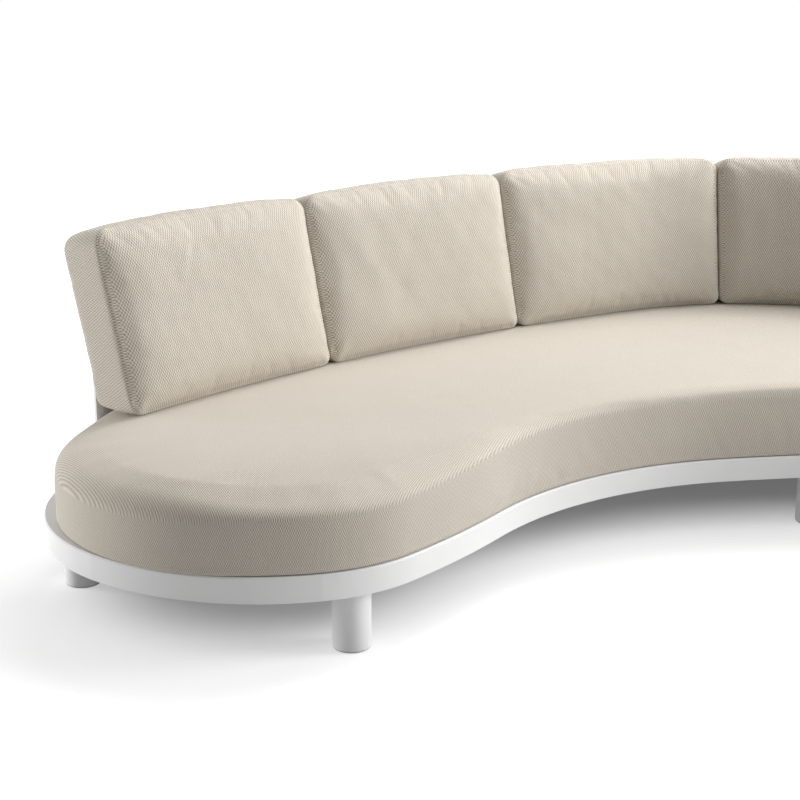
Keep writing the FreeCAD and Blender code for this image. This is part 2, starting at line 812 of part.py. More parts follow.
def toward(one, other, distance):
    gap = math.hypot(other[0] - one[0], other[1] - one[1])
    return tuple(a + (b - a) * distance / gap for a, b in zip(one, other))


def rounded(before, corner, after, radius):
    """Start, middle and end of the rounding of one corner."""
    first = math.atan2(before[1] - corner[1], before[0] - corner[0])
    second = math.atan2(after[1] - corner[1], after[0] - corner[0])
    opening = abs((first - second + math.pi) % (2 * math.pi) - math.pi)
    reach = radius / math.tan(opening / 2)
    start, end = toward(corner, before, reach), toward(corner, after, reach)
    middle = tuple((a + b) / 2 for a, b in zip(start, end))
    return [start, toward(corner, middle, radius / math.sin(opening / 2) - radius), end]


def bowed(first, last, bow, shares):
    """Points between two others, on a shallow bow that rises by the given offset."""
    points = []
    for share in shares:
        rise = 1 - (1 - 2 * share) ** 2
        points.append(tuple(a + (b - a) * share + c * rise for a, b, c in zip(first, last, bow)))
    return points


def cushionProfile(station, inset, drop, crownShare, side):
    """Closed outline in short straight runs: a bowed front and top, and three rounded corners."""
    sole, front, rear, heel = corners(inset, size("cushion_height") - drop)
    seam = size("cushion_seam_round")
    frontRound = rounded(sole, front, rear, seam)
    rearRound = rounded(front, rear, heel, seam)
    heelRound = rounded(rear, heel, sole, size("cushion_heel_round"))
    face = bowed(sole, frontRound[0], (-size("cushion_front_crown") * crownShare, 0), FACE_BOW_SHARES)
    top = bowed(frontRound[-1], rearRound[0], (0, size("cushion_top_crown") * crownShare), TOP_BOW_SHARES)
    points = [sole] + face + frontRound + top + rearRound + heelRound
    places = [placed(station, point, side) for point in points]
    return Part.makePolygon(places + places[:1])


def foamProfile(station, skin, side):
    points = corners(skin, size("cushion_height") - skin * FOAM_DROP_SHARE)
    places = [placed(station, point, side) for point in points]
    return Part.makePolygon(places + places[:1])


def cushionSpans():
    """First and last station of each back cushion on the left, from the axis outward."""
    spans, reached = [], 0
    for alias in ("cushion_inner_width", "cushion_middle_width", "cushion_outer_width"):
        spans.append((reached, reached + size(alias)))
        reached += size(alias)
    return spans


CUSHION_SPANS = cushionSpans()
END_SHARES = (0, 0.2, 0.55)
FACE_BOW_SHARES = (0.3, 0.7)
TOP_BOW_SHARES = (0.5,)
CROWN_END_SHARE = 0.06
FOAM_DROP_SHARE = 3


def evenly(first, last, parts):
    return [first + (last - first) * number / parts for number in range(parts + 1)]


def sectionParts(span):
    """The cushions on the tighter middle curve need more sections than those on the wings."""
    return 4 if span[0] < MIDDLE_LENGTH else 2


def cushionSections(span, side):
    """Profiles from one end of a cushion to the other, drawn in towards its ends."""
    start = span[0] + size("cushion_gap") / 2
    length = span[1] - span[0] - size("cushion_gap")
    corner, edge = size("cushion_corner_round"), size("cushion_edge_round")
    ends = [corner * share for share in END_SHARES]
    middle = evenly(corner, length - corner, sectionParts(span))
    reaches = ends + middle + [length - end for end in reversed(ends)]
    wires = []
    for reach in reaches:
        near = min(reach, length - reach)
        drop = corner - math.sqrt(corner ** 2 - max(corner - near, 0) ** 2)
        inset = edge - math.sqrt(edge ** 2 - max(edge - near, 0) ** 2)
        crownShare = CROWN_END_SHARE + 1 - abs(2 * reach / length - 1) ** 3
        wires.append(cushionProfile(start + reach, inset, drop, crownShare, side))
    return wires


def foamSections(span, skin, side):
    start, end = span[0] + size("cushion_gap") / 2 + skin, span[1] - size("cushion_gap") / 2 - skin
    return [foamProfile(station, skin, side) for station in evenly(start, end, sectionParts(span))]


def backCushion(name, span, side):
    outside = lofted(name + "_outside", cushionSections(span, side))
    wadding = size("wadding")
    hollow = lofted(name + "_hollow", foamSections(span, wadding, side))
    foam = lofted(name + "_foam", foamSections(span, wadding + size("foam_play"), side))
    return combined("Cut", name + "_cover", outside, hollow), foam


def jointFasteners():
    across = Rotation(Vector(0, 1, 0), -90)
    places = [Placement(spot - Vector(size("joint_wall"), 0, 0), across) for spot in jointBoltSpots()]
    through = "2 * Sizes.joint_wall"
    bolts = bolt("joint_bolt", "Sizes.joint_bolt_diameter", through + " + Sizes.joint_bolt_diameter")
    nuts = nut("joint_nut", "Sizes.joint_bolt_diameter", through)
    return [placedCopies("joint_bolts", bolts, places), placedCopies("joint_nuts", nuts, places)]


# The whole sofa
def platform():
    room = interior("skirt_interior", size("leg_height"), "Sizes.skirt_height - Sizes.deck_sheet")
    pieces = [make(side) for make in (skirt, deck, jointWall) for side in SIDE_NAMES]
    pieces += [ribs(side, room) for side in SIDE_NAMES]
    plates = [legPlate("plate_over_" + name, centre, angle, room) for name, (centre, angle) in LEGS.items()]
    pieces.append(gathered("leg_plates", plates))
    legMaster, glideMaster = leg(), glide()
    everyLeg = []
    for word in ("left", "centre", "right"):
        places = [upright(centre, 0, angle) for name, (centre, angle) in LEGS.items() if word in name]
        pieces.append(placedCopies("legs_" + word, legMaster, places))
        everyLeg += places
    pieces.append(placedCopies("leg_glides", glideMaster, everyLeg))
    return pieces + jointFasteners()


def backPanel():
    posts = placedCopies("panel_posts", post(), postPlacements(LEFT) + postPlacements(RIGHT))
    return [panel(side) for side in SIDE_NAMES] + [splice(), posts]


def cushions():
    pieces = list(seatCushion())
    order = [(span, LEFT) for span in reversed(CUSHION_SPANS)] + [(span, RIGHT) for span in CUSHION_SPANS]
    for number, (span, side) in enumerate(order, start=1):
        pieces += backCushion("back_cushion_" + str(number), span, side)
    return pieces


nodes = platform() + backPanel() + cushions()
doc.recompute()

for item in doc.Objects:
    if "Invalid" in item.State or "Error" in item.State:
        raise RuntimeError(item.Label + " did not compute")
for item in nodes:
    if item.Shape.isNull() or not item.Shape.isValid():
        raise RuntimeError(item.Label + " has no valid shape")

os.makedirs("parts", exist_ok=True)
for item in nodes:
    item.Shape.exportStep("parts/" + item.Label + ".step")
print(str(len(nodes)) + " nodes written")
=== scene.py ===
# A curved outdoor sofa: white metal platform and low back panel, woven cream cushions
import json
import math

import bmesh
import bpy
import numpy as np
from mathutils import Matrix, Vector


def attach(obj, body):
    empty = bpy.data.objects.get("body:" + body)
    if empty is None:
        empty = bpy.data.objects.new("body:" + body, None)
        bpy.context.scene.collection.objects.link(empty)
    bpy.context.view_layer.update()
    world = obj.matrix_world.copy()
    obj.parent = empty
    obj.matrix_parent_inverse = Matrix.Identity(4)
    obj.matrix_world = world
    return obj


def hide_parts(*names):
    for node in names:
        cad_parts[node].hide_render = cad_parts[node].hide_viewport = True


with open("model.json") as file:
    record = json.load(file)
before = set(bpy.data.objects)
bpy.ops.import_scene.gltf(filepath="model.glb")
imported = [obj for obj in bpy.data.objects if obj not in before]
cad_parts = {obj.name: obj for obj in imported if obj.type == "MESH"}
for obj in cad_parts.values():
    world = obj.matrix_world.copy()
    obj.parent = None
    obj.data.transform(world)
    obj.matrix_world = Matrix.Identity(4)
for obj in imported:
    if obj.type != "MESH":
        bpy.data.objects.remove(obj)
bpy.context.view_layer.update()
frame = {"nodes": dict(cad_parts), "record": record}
nodes = frame["nodes"]
print("frame loaded:", len(nodes), "nodes")

# plan of the sofa in metres and degrees, from the front axis round the left end to the back axis
plan = {
    "frontMiddle": (3.2, 5.0),  # radius and turn of an arc
    "bay": (0.935, 46.0),
    "shoulder": (2.1, 9.3),
    "lobeInner": (0.388, 33.5),
    "lobe": 0.588,  # radius of an arc whose turn follows from its neighbours
    "end": 0.47123,
    "wing": 4.245,
    "backMiddle": (0.743, 22.75),
    "seatDepth": 0.998,  # from the bay's edge to the foot line, on the axis
    "backLedge": 0.23,  # from the foot line out to the platform's edge
}
outlineEnd = 8.0  # the half outline is eight arcs, so its marks run from 0 to 8


# direction of an angle in radians, as a complex number, which is a point of the plan here
def ray(angle):
    return np.exp(1j * np.asarray(angle))


# arcs that follow one another tangentially: each centre lies square to the heading at its radius
def frontArcs(startY, inset):
    point, heading, arcs = 1j * (startY + inset), math.pi, []
    for name, bend in (("frontMiddle", 1), ("bay", 1), ("shoulder", -1), ("lobeInner", -1)):
        radius, turn = plan[name]
        radius, turn = radius + bend * inset, math.radians(turn) * bend
        centre = point + 1j * bend * radius * ray(heading)
        first = heading - bend * math.pi / 2
        arcs.append((centre, radius, first, first + turn))
        point = centre + radius * ray(first + turn)
        heading += turn
    return arcs, point, heading


# place of the foot line on the axis that centres the platform's depth on the origin
def footLineY():
    arcs, point, heading = frontArcs(-plan["seatDepth"], 0)
    lobeY = (point - 1j * plan["lobe"] * ray(heading)).imag
    return (plan["lobe"] - lobeY - plan["backLedge"]) / 2


footY = footLineY()
middleTurn = math.radians(plan["backMiddle"][1])
middleRadius, wingRadius = plan["backMiddle"][0], plan["wing"]
middleCentre = 1j * (footY - middleRadius)
wingAxis = ray(math.pi / 2 + middleTurn)
wingCentre = middleCentre + wingAxis * (middleRadius - wingRadius)
middleLength = middleRadius * middleTurn


# foot line of the back cushions: an arc about the middle centre, then one about the wing centre
def footLine(station, offset):
    middle = station < middleLength
    angle = np.where(middle, station / middleRadius, middleTurn + (station - middleLength) / wingRadius)
    centre = np.where(middle, middleCentre, wingCentre)
    radius = np.where(middle, middleRadius, wingRadius)
    out = 1j * ray(angle)
    return centre + out * (radius + offset), out


# left half of a platform outline; the end arc touches the lobe arc and the wing arc from inside
def halfOutline(inset, ledge):
    arcs, point, heading = frontArcs(footY - plan["seatDepth"], inset)
    lobeR, endR, wingR = plan["lobe"] - inset, plan["end"] - inset, wingRadius + ledge
    lobeC = point - 1j * lobeR * ray(heading)
    span = wingCentre - lobeC
    length, unit = abs(span), span / abs(span)
    along = ((lobeR - endR) ** 2 - (wingR - endR) ** 2 + length ** 2) / (2 * length)
    across = math.sqrt((lobeR - endR) ** 2 - along ** 2)
    endC = min((lobeC + unit * (along + 1j * way * across) for way in (1, -1)), key=lambda c: c.real)
    full = 2 * math.pi
    first = np.angle(point - lobeC) % full
    second = np.angle(endC - lobeC) % full
    third = np.angle(endC - wingCentre) % full
    square = np.angle(wingAxis) % full
    arcs.append((lobeC, lobeR, first if first > second else first + full, second))
    arcs.append((endC, endR, second, third))
    arcs.append((wingCentre, wingR, third, square))
    arcs.append((middleCentre, middleRadius + ledge, square, math.pi / 2))
    return arcs


# places along the half outline as arc numbers and shares, evenly spaced between two of them
def evenMarks(start, stop, count):
    arcs = halfOutline(0, plan["backLedge"])
    lengths = np.array([abs(r * (b - a)) for c, r, a, b in arcs])
    ends = np.concatenate([[0], np.cumsum(lengths)])

    def travelled(mark):
        return ends[int(mark)] + (mark - int(mark)) * lengths[int(mark)] if mark < len(arcs) else ends[-1]

    run = np.linspace(travelled(start), travelled(stop), count + 1)
    number = np.clip(np.searchsorted(ends, run, side="right") - 1, 0, len(arcs) - 1)
    return number + np.clip((run - ends[number]) / lengths[number], 0, 1)


# points of the half outline at some marks
def outlineAt(marks, inset, ledge):
    arcs = halfOutline(inset, ledge)
    number = np.clip(np.floor(marks).astype(int), 0, len(arcs) - 1)
    share = marks - number
    centre, radius, first, last = (np.array([arc[k] for arc in arcs])[number] for k in range(4))
    direction = ray(first + (last - first) * share)
    return centre + radius * direction


# corner numbers of the quads of a grid of points
def quadsOf(rows, columns):
    corner = np.arange(rows * columns).reshape(rows, columns)
    return np.stack([corner[:-1, :-1], corner[:-1, 1:], corner[1:, 1:], corner[1:, :-1]], -1).reshape(-1, 4)


# one number for each point of a mesh
def pointAttribute(mesh, name, values):
    mesh.attributes.new(name, "FLOAT", "POINT").data.foreach_set("value", values.astype(np.float32))


# mesh made of grids: each holds points, rows by columns, cloth coordinates and what the sewing holds
def gridMesh(name, grids, weld=2e-5):
    points, cloth, held, quads, first = [], [], [], [], 0
    for place, uv, hold in grids:
        rows, columns = place.shape[:2]
        quads.append(first + quadsOf(rows, columns))
        points.append(place.reshape(-1, 3))
        cloth.append(uv.reshape(-1, 2))
        held.append(np.broadcast_to(hold, (rows, columns)).ravel())
        first += rows * columns
    points, cloth, quads = np.concatenate(points), np.concatenate(cloth), np.concatenate(quads)
    mesh = bpy.data.meshes.new(name)
    mesh.from_pydata(points, [], quads)
    corners = cloth[quads.ravel()].astype(np.float32)
    mesh.uv_layers.new(name="cloth").data.foreach_set("uv", corners.ravel())
    pointAttribute(mesh, "held", np.concatenate(held))
    faceOutwards(mesh, weld)
    mesh.shade_smooth()
    piece = bpy.data.objects.new(name, mesh)
    bpy.context.scene.collection.objects.link(piece)
    return piece


# faces turned outwards, once points nearer than weld are one
def faceOutwards(mesh, weld=0.0):
    form = bmesh.new()
    form.from_mesh(mesh)
    if weld:
        bmesh.ops.remove_doubles(form, verts=form.verts, dist=weld)
    bmesh.ops.recalc_face_normals(form, faces=form.faces)
    form.to_mesh(mesh)
    form.free()


# points of a mesh as rows of x, y and z, and the way back
def pointsOf(mesh):
    flat = np.empty(len(mesh.vertices) * 3, np.float32)
    mesh.vertices.foreach_get("co", flat)
    return flat.reshape(-1, 3).astype(float)


def placePoints(mesh, points):
    mesh.vertices.foreach_set("co", points.astype(np.float32).ravel())
    mesh.update()


# filling and cloth: pressure swells the sewn shapes for some frames, and the sewn lines stay where they are
filling = {
    "pressure": 4.0,
    "frames": 20,
    "slack": 0.006,  # share by which the cloth is wider than the shape
    "stiffness": 15.0,
    "bending": 0.6,
    "quality": 4,
}


# swollen points of each piece, none further from its start than the piece's limit
def swell(pieces, limits):
    starts = [pointsOf(piece.data) for piece in pieces]
    for piece in pieces:
        held = np.empty(len(piece.data.vertices), np.float32)
        piece.data.attributes["held"].data.foreach_get("value", held)
        group = piece.vertex_groups.new(name="sewn")
        group.add(np.flatnonzero(held > 0.5).tolist(), 1.0, "REPLACE")
        cloth = piece.modifiers.new("filling", "CLOTH")
        settings = cloth.settings
        settings.quality = filling["quality"]
        settings.use_pressure = True
        settings.uniform_pressure_force = filling["pressure"]
        settings.tension_stiffness = settings.compression_stiffness = filling["stiffness"]
        settings.bending_stiffness = filling["bending"]
        settings.shrink_min = -filling["slack"]
        settings.effector_weights.gravity = 0
        settings.vertex_group_mass = "sewn"
        cloth.collision_settings.use_collision = False
        cloth.point_cache.frame_start, cloth.point_cache.frame_end = 1, filling["frames"]
    for moment in range(1, filling["frames"] + 1):
        bpy.context.scene.frame_set(moment)
    ready = bpy.context.evaluated_depsgraph_get()
    ends = [pointsOf(piece.evaluated_get(ready).data) for piece in pieces]
    for piece in pieces:
        piece.modifiers.clear()
        piece.vertex_groups.clear()
    bpy.context.scene.frame_set(1)
    swollen = []
    for start, end, limit in zip(starts, ends, limits):
        move = end - start
        far = np.linalg.norm(move, axis=1, keepdims=True)
        swollen.append(start + move * limit * np.tanh(far / limit) / np.maximum(far, 1e-9))
    return swollen


# gentle unevenness of hand filled cloth: a few crossed waves with seeded directions and phases
def unevenness(points, seed, size, count=14):
    chance = np.random.default_rng(seed)
    total = np.zeros(len(points))
    for step in range(count):
        way = chance.normal(size=3)
        way *= 2 * math.pi / (size * chance.uniform(0.6, 1.8)) / np.linalg.norm(way)
        total += np.sin(points @ way + chance.uniform(0, 2 * math.pi))
    return total / math.sqrt(count)


# patch inside a closed ring of four stretches: opposite sides blended, less the corners counted twice
def coons(ring, long, short):
    back, right = ring[:long + 1], ring[long:long + short + 1]
    front = ring[long + short:2 * long + short + 1][::-1]
    left = np.concatenate([ring[2 * long + short:], ring[:1]])[::-1]
    s = np.linspace(0, 1, long + 1)[None, :, None]
    t = np.linspace(0, 1, short + 1)[:, None, None]
    sides = (1 - t) * back[None] + t * front[None] + (1 - s) * left[:, None] + s * right[:, None]
    backCorners = (1 - s) * (1 - t) * back[0] + s * (1 - t) * back[-1]
    return sides - (backCorners + (1 - s) * t * front[0] + s * t * front[-1])


# smooth step from 0 to 1 between two values
def eased(low, high, value):
    share = np.clip((value - low) / (high - low), 0, 1)
    return share * share * (3 - 2 * share)


# seat cushion: side, crown and top follow the outline ring, and a blended patch fills the top
seat = {
    "base": 0.2106,
    "top": 0.3956,
    "inset": 0.004,  # from the platform's front edge
    "ledge": 0.181,  # from the foot line out to the cushion's back edge
    "endTuck": -0.011,  # how far the end stands out past the inset
    "bayCrown": (0.010, 0.02, 0.017, 0.06),  # height and width of the edge, then of the dome
    "lobeCrown": (0.015, 0.03, 0.047, 0.31),
    "endCrown": (0.032, 0.05, 0.040, 0.20),
    "backCrown": (0.012, 0.02, 0.012, 0.045),
    "lobeMarks": (1.5, 3.6),  # marks of the outline between which one crown passes into the next
    "endMarks": (4.3, 5.1),
    "backMarks": (5.75, 6.15),
    "tuckEndMarks": (5.6, 6.1),
    "ringReach": 0.1,  # width of the ring that follows the outline on top
    "edgeRound": 0.008,
    "bulge": 0.003,
    "bulgePower": 0.7,
    "roundRows": 4,  # rows of the round below, the side and the ring
    "sideRows": 11,
    "ringRows": 15,
    "ringPower": 1.5,  # the ring's rows lie closer near its edge
    "long": 240,  # faces along the front and across the end
    "short": 50,
    "frontCorner": 4.62,  # marks where the long sides meet the ends
    "backCorner": 5.62,
    "smoothing": 60,  # how many times the top is smoothed
    "swell": 0.004,  # most that the cloth may move
    "uneven": (0.0012, 0.5),  # depth and size of its waves
    "limitBlend": 0.0015,  # softness of the bend below the limit
    "limitReach": (0.03, 0.25),  # how far ahead of the back cushions it may begin and end to rise
}


# ring of marks and sides: back from left to right, right end, front from right to left, left end
def seatRing():
    half, short = seat["long"] // 2, seat["short"]
    back = evenMarks(seat["backCorner"], outlineEnd, half)
    end = evenMarks(seat["frontCorner"], seat["backCorner"], short)
    front = evenMarks(0.0, seat["frontCorner"], half)
    right = [(back[::-1][1:], 1), (end[::-1][1:], 1), (front[::-1][1:], 1)]
    runs = [(back, -1), *right, (front[1:], -1), (end[1:-1], -1)]
    marks = np.concatenate([run for run, side in runs])
    return marks, np.concatenate([np.full(len(run), side) for run, side in runs])


# crown at each mark: height and width of its rounded edge, then height and width of its dome
def crownAt(marks):
    lobe, end, back = (eased(*seat[name], marks) for name in ("lobeMarks", "endMarks", "backMarks"))
    shares = (1 - lobe, lobe * (1 - end), end * (1 - back), back)
    sizes = [seat[name] for name in ("bayCrown", "lobeCrown", "endCrown", "backCrown")]
    return np.array([sum(size[k] * share for size, share in zip(sizes, shares)) for k in range(4)])


# height at a distance from the outline: a quarter ellipse for the edge, and a parabola for the dome
def crownHeight(distance, crown):
    edge, edgeWidth, dome, domeWidth = crown
    roll = 1 - np.clip(distance / edgeWidth, 0, 1)
    rest = 1 - np.clip(distance / domeWidth, 0, 1)
    return seat["top"] - edge - dome + edge * np.sqrt(1 - roll ** 2) + dome * (1 - rest ** 2)


# profile of side and crown: a quarter round below, a slightly bulging side, then the crown
def seatProfile(crown):
    low, edge = seat["base"], seat["edgeRound"]
    high = seat["top"] - crown[0] - crown[2]
    level = np.zeros_like(high)
    rows = []
    for turn in np.linspace(0, math.pi / 2, seat["roundRows"] + 1)[:-1]:
        rows.append((edge * (1 - math.sin(turn)) + level, low + edge * (1 - math.cos(turn)) + level))
    for share in np.linspace(0, 1, seat["sideRows"]):
        bulge = seat["bulge"] * math.sin(math.pi * share) ** seat["bulgePower"]
        rows.append((-bulge + level, low + edge + (high - low - edge) * share))
    for reach in seat["ringReach"] * np.linspace(0, 1, seat["ringRows"])[1:] ** seat["ringPower"]:
        rows.append((reach + level, crownHeight(reach, crown)))
    return np.array(rows)


# top patch: each point's height is the crown at its distance from the nearest point of the outline,
# then it is smoothed by taking the mean of its four neighbours many times
def seatTop(ring, outline, crown):
    patch = coons(ring, seat["long"], seat["short"])
    flat = (patch[..., 0] + 1j * patch[..., 1])[1:-1, 1:-1]
    apart = np.abs(flat[..., None] - (outline[:, 0] + 1j * outline[:, 1]))
    nearest = apart.argmin(-1)
    height = patch[..., 2]
    height[1:-1, 1:-1] = crownHeight(apart.min(-1) - seat["edgeRound"], crown[:, nearest])
    for step in range(seat["smoothing"]):
        around = height[:-2, 1:-1] + height[2:, 1:-1] + height[1:-1, :-2] + height[1:-1, 2:]
        height[1:-1, 1:-1] = around / 4
    return patch


# the profile is carried round the outline along its inward directions, mirrored on the right half
def buildSeat():
    marks, sides = seatRing()
    crown = crownAt(marks)
    rows = seatProfile(crown)
    reach = seat["ringReach"]
    base = outlineAt(marks, seat["inset"], seat["ledge"])
    inner = outlineAt(marks, seat["inset"] + reach, seat["ledge"] - reach)
    inward = (inner - base) / np.abs(inner - base)
    tuck = eased(*seat["endMarks"], marks) * (1 - eased(*seat["tuckEndMarks"], marks))
    base = base + inward * seat["endTuck"] * tuck
    around = np.concatenate([[0], np.cumsum(np.abs(np.diff(base)))])
    level = base[None] + inward[None] * rows[:, 0]
    place = np.stack([np.where(sides[None] < 0, level.real, -level.real), level.imag, rows[:, 1]], -1)
    closed = np.concatenate([place, place[:, :1]], 1)
    run = np.append(around, around[-1] + abs(base[0] - base[-1]))
    boxRows = seat["roundRows"] + seat["sideRows"]
    climb = np.concatenate([[0], np.cumsum(np.linalg.norm(np.diff(place[:, 0], axis=0), axis=-1))])
    sideUv = np.stack(np.broadcast_arrays(run[None, :], climb[:boxRows, None]), -1)
    soleRow = (np.arange(boxRows) <= seat["roundRows"])[:, None] * 1.0
    onTop = closed[boxRows - 1:]
    top = seatTop(place[-1], place[0], crown)
    sole = coons(place[0], seat["long"], seat["short"])
    grids = [(closed[:boxRows], sideUv, soleRow), (onTop, onTop[..., :2], 0.0),
             (top, top[..., :2], 0.0), (sole, sole[..., :2], 1.0)]
    piece = gridMesh("seatCushion", grids)
    swollen, = swell([piece], [seat["swell"]])
    depth, size = seat["uneven"]
    height = (swollen[:, 2] - seat["base"]) / (seat["top"] - seat["base"])
    swollen[:, 2] += depth * unevenness(swollen, 5, size) * np.clip(height, 0, 1) ** 2
    limit, blend = seatLimit(swollen), seat["limitBlend"]
    swollen[:, 2] = limit - blend * np.logaddexp(0, (limit - swollen[:, 2]) / blend)
    placePoints(piece.data, swollen)
    smooth(piece)
    return piece


# highest the seat may reach: level under the back cushions, and a little more in front of them
def seatLimit(points):
    flat = -np.abs(points[:, 0]) + 1j * points[:, 1]
    fromMiddle = np.abs(flat - middleCentre) - middleRadius
    fromWing = np.abs(flat - wingCentre) - wingRadius
    wing = np.angle((flat - middleCentre) / 1j) > np.angle(wingAxis / 1j)
    ahead = -np.where(wing, fromWing, fromMiddle)
    return seat["top"] + seat["swell"] * eased(*seat["limitReach"], ahead)


# one level of subdivision, live, for roundness
def smooth(piece):
    finer = piece.modifiers.new("finer", "SUBSURF")
    finer.levels = finer.render_levels = 1


seatPiece = buildSeat()
print("seat cushion:", len(seatPiece.data.polygons), "faces")

# back cushions: a boxed pillow that follows the foot line and leans back
cushion = {
    "widths": (0.745, 0.703, 0.690),  # from the axis outwards
    "gap": 0.002,
    "height": 0.460,
    "thick": 0.135,
    "lean": 14.0,
    "base": 0.3956,
    "topRound": 0.04,  # radius of the upper and of the lower corners
    "footRound": 0.028,
    "faceCrown": 0.032,
    "rearCrown": 0.004,
    "crownPowers": (3, 4, 0.6),  # across, up and over both: more is flatter in the middle
    "sideBulge": 0.003,
    "sideRows": 14,
    "seamRound": 0.012,
    "seamTurns": (0, 20, 36, 45, 54, 70, 90),  # rows of the round at a seam, which lies at 45
    "groove": 0.002,
    "footHeld": 0.004,  # height below which the cloth is held, where it rests on the seat
    "cell": 0.0095,  # width of a face
    "swell": 0.008,
    "outerSpare": 0.001,  # room for the swelling at the outer end of the row
    "softFrom": 0.05,  # height above which the face may be uneven
    "uneven": ((0.0011, 0.16), (0.0006, 0.06)),  # depth and size of the waves of the faces
    "topUneven": (0.0012, 0.12),
    "weave": (0.72, 0.85),  # the cloth is coarser than on the seat
}

# top of each cushion: how much is added to its height, to its middle and to its right end
tops = {1: (0.001, 0.007, 0.0), 2: (0.003, 0.008, 0.006), 3: (0.008, 0.004, 0.0),
        4: (0.009, 0.002, 0.0), 5: (0.004, 0.007, -0.004), 6: (0.002, 0.008, 0.0)}

# folds pulled into the cloth of one cushion: place, heading in degrees, length, width and depth
folds = {
    1: [(0.44, 0.37, -62, 0.06, 0.012, 0.0035), (0.30, 0.41, -70, 0.04, 0.012, 0.0025),
        (0.56, 0.43, 75, 0.03, 0.01, 0.002)],
    2: [(0.30, 0.43, -75, 0.04, 0.012, 0.0022), (0.40, 0.44, 80, 0.03, 0.01, 0.0018)],
    3: [(0.20, 0.45, 70, 0.03, 0.012, 0.0018)],
    4: [(0.52, 0.44, -72, 0.04, 0.012, 0.002)],
    5: [(0.35, 0.42, -68, 0.05, 0.012, 0.0025)],
    6: [(0.33, 0.40, 64, 0.05, 0.012, 0.003), (0.18, 0.43, 74, 0.04, 0.01, 0.002)],
}


# place in the row frame of a station along the foot line, a depth and a rise along the lean
def leaned(station, depth, rise, side):
    lean = math.radians(cushion["lean"])
    foot, out = footLine(station, 0)
    flat = foot + out * (depth * math.cos(lean) + rise * math.sin(lean))
    height = cushion["base"] - depth * math.sin(lean) + rise * math.cos(lean)
    return np.stack([flat.real * side, flat.imag, height], -1)


# rounded rectangle from its back left corner: rows of points and outward directions, evenly spaced
def roundedRing(width, height, top, foot, long, short, fine=60):
    corners = [(top, height - top, top, 180), (width - top, height - top, top, 90),
               (width - foot, foot, foot, 0), (foot, foot, foot, -90)]
    path = []
    for x, y, radius, start in corners:
        angle = np.radians(start - np.linspace(0, 90, fine))
        path.append(np.stack([x + radius * np.cos(angle), y + radius * np.sin(angle)], -1))
    path = np.concatenate(path + [path[0][:1]])
    run = np.concatenate([[0], np.cumsum(np.linalg.norm(np.diff(path, axis=0), axis=1))])
    middles = [0.5 * (run[fine * k] + run[fine * k + fine - 1]) for k in range(4)]
    middles.append(run[-1] + 0.5 * run[fine - 1])
    counts = [long, short, long, short]
    where = np.concatenate([np.linspace(a, b, n + 1)[:-1] for a, b, n in zip(middles, middles[1:], counts)])
    where = where % run[-1]
    ring = np.stack([np.interp(where, run, path[:, k]) for k in (0, 1)], -1)
    ahead = np.stack([np.interp((where + 1e-4) % run[-1], run, path[:, k]) for k in (0, 1)], -1)
    along = ahead - ring
    along /= np.linalg.norm(along, axis=1)[:, None]
    return ring, np.stack([-along[:, 1], along[:, 0]], -1), where


# crown of a face: a flat dome whose edges roll down to the seam
def pillow(rows, columns):
    u, v = np.linspace(-1, 1, columns)[None], np.linspace(-1, 1, rows)[:, None]
    across, up, both = cushion["crownPowers"]
    return ((1 - np.abs(u) ** across) * (1 - np.abs(v) ** up)) ** both


# boxed pillow lying flat: across, up and depth, with a narrow groove along both seams
def flatCushion(name, width):
    height, thick, seam = cushion["height"], cushion["thick"], cushion["seamRound"]
    long, short = round(width / cushion["cell"]), round(height / cushion["cell"])
    ring, outward, around = roundedRing(width, height, cushion["topRound"], cushion["footRound"], long, short)
    ring, outward = np.concatenate([ring, ring[:1]]), np.concatenate([outward, outward[:1]])
    around = np.unwrap(np.append(around, around[0]), period=2 * (width + height))
    rows = []
    for turn in cushion["seamTurns"]:
        angle, radius = math.radians(turn), seam - cushion["groove"] * (turn == 45)
        rows.append((radius * math.sin(angle) - seam, seam - radius * math.cos(angle), turn == 45))
    sideRows = [(cushion["sideBulge"] * math.sin(math.pi * s), seam + (thick - 2 * seam) * s, 0)
                for s in np.linspace(0, 1, cushion["sideRows"])[1:-1]]
    rows = rows + sideRows + [(shift, thick - depth, hold) for shift, depth, hold in reversed(rows)]
    shifts, depths, held = (np.array(column, float)[:, None] for column in zip(*rows))
    flat = ring[None] + outward[None] * shifts[..., None]
    grid = np.concatenate([flat, np.broadcast_to(depths[..., None], flat.shape[:2] + (1,))], -1)
    hold = held + (grid[..., 1] < cushion["footHeld"])
    sideUv = np.stack(np.broadcast_arrays(around[None, :], depths), -1)
    grids = [(grid, sideUv * cushion["weave"], hold)]
    for row, crown, sign in ((0, cushion["faceCrown"], -1), (-1, cushion["rearCrown"], 1)):
        patch = coons(grid[row][:-1], long, short)
        patch[..., 2] += sign * crown * pillow(*patch.shape[:2])
        grids.append((patch, patch[..., :2] * cushion["weave"], 0.0))
    return gridMesh(name, grids)


# a fold is a ridge beside a valley that fades along its heading
def foldDepth(points, marks):
    depth = np.zeros(len(points))
    for x, y, heading, length, width, most in marks:
        angle = math.radians(heading)
        dx, dy = points[:, 0] - x, points[:, 1] - y
        along = (dx * math.cos(angle) + dy * math.sin(angle)) / length
        across = (dy * math.cos(angle) - dx * math.sin(angle)) / width
        depth += most * np.exp(-along ** 2 - across ** 2) * across
    return depth


# stations where each cushion begins and ends, and its side of the axis, from the left end
def cushionPlaces():
    edges = np.concatenate([[0], np.cumsum(cushion["widths"])])
    spans = list(zip(edges[:-1], edges[1:]))
    return [(a, b, 1) for a, b in reversed(spans)] + [(a, b, -1) for a, b in spans]


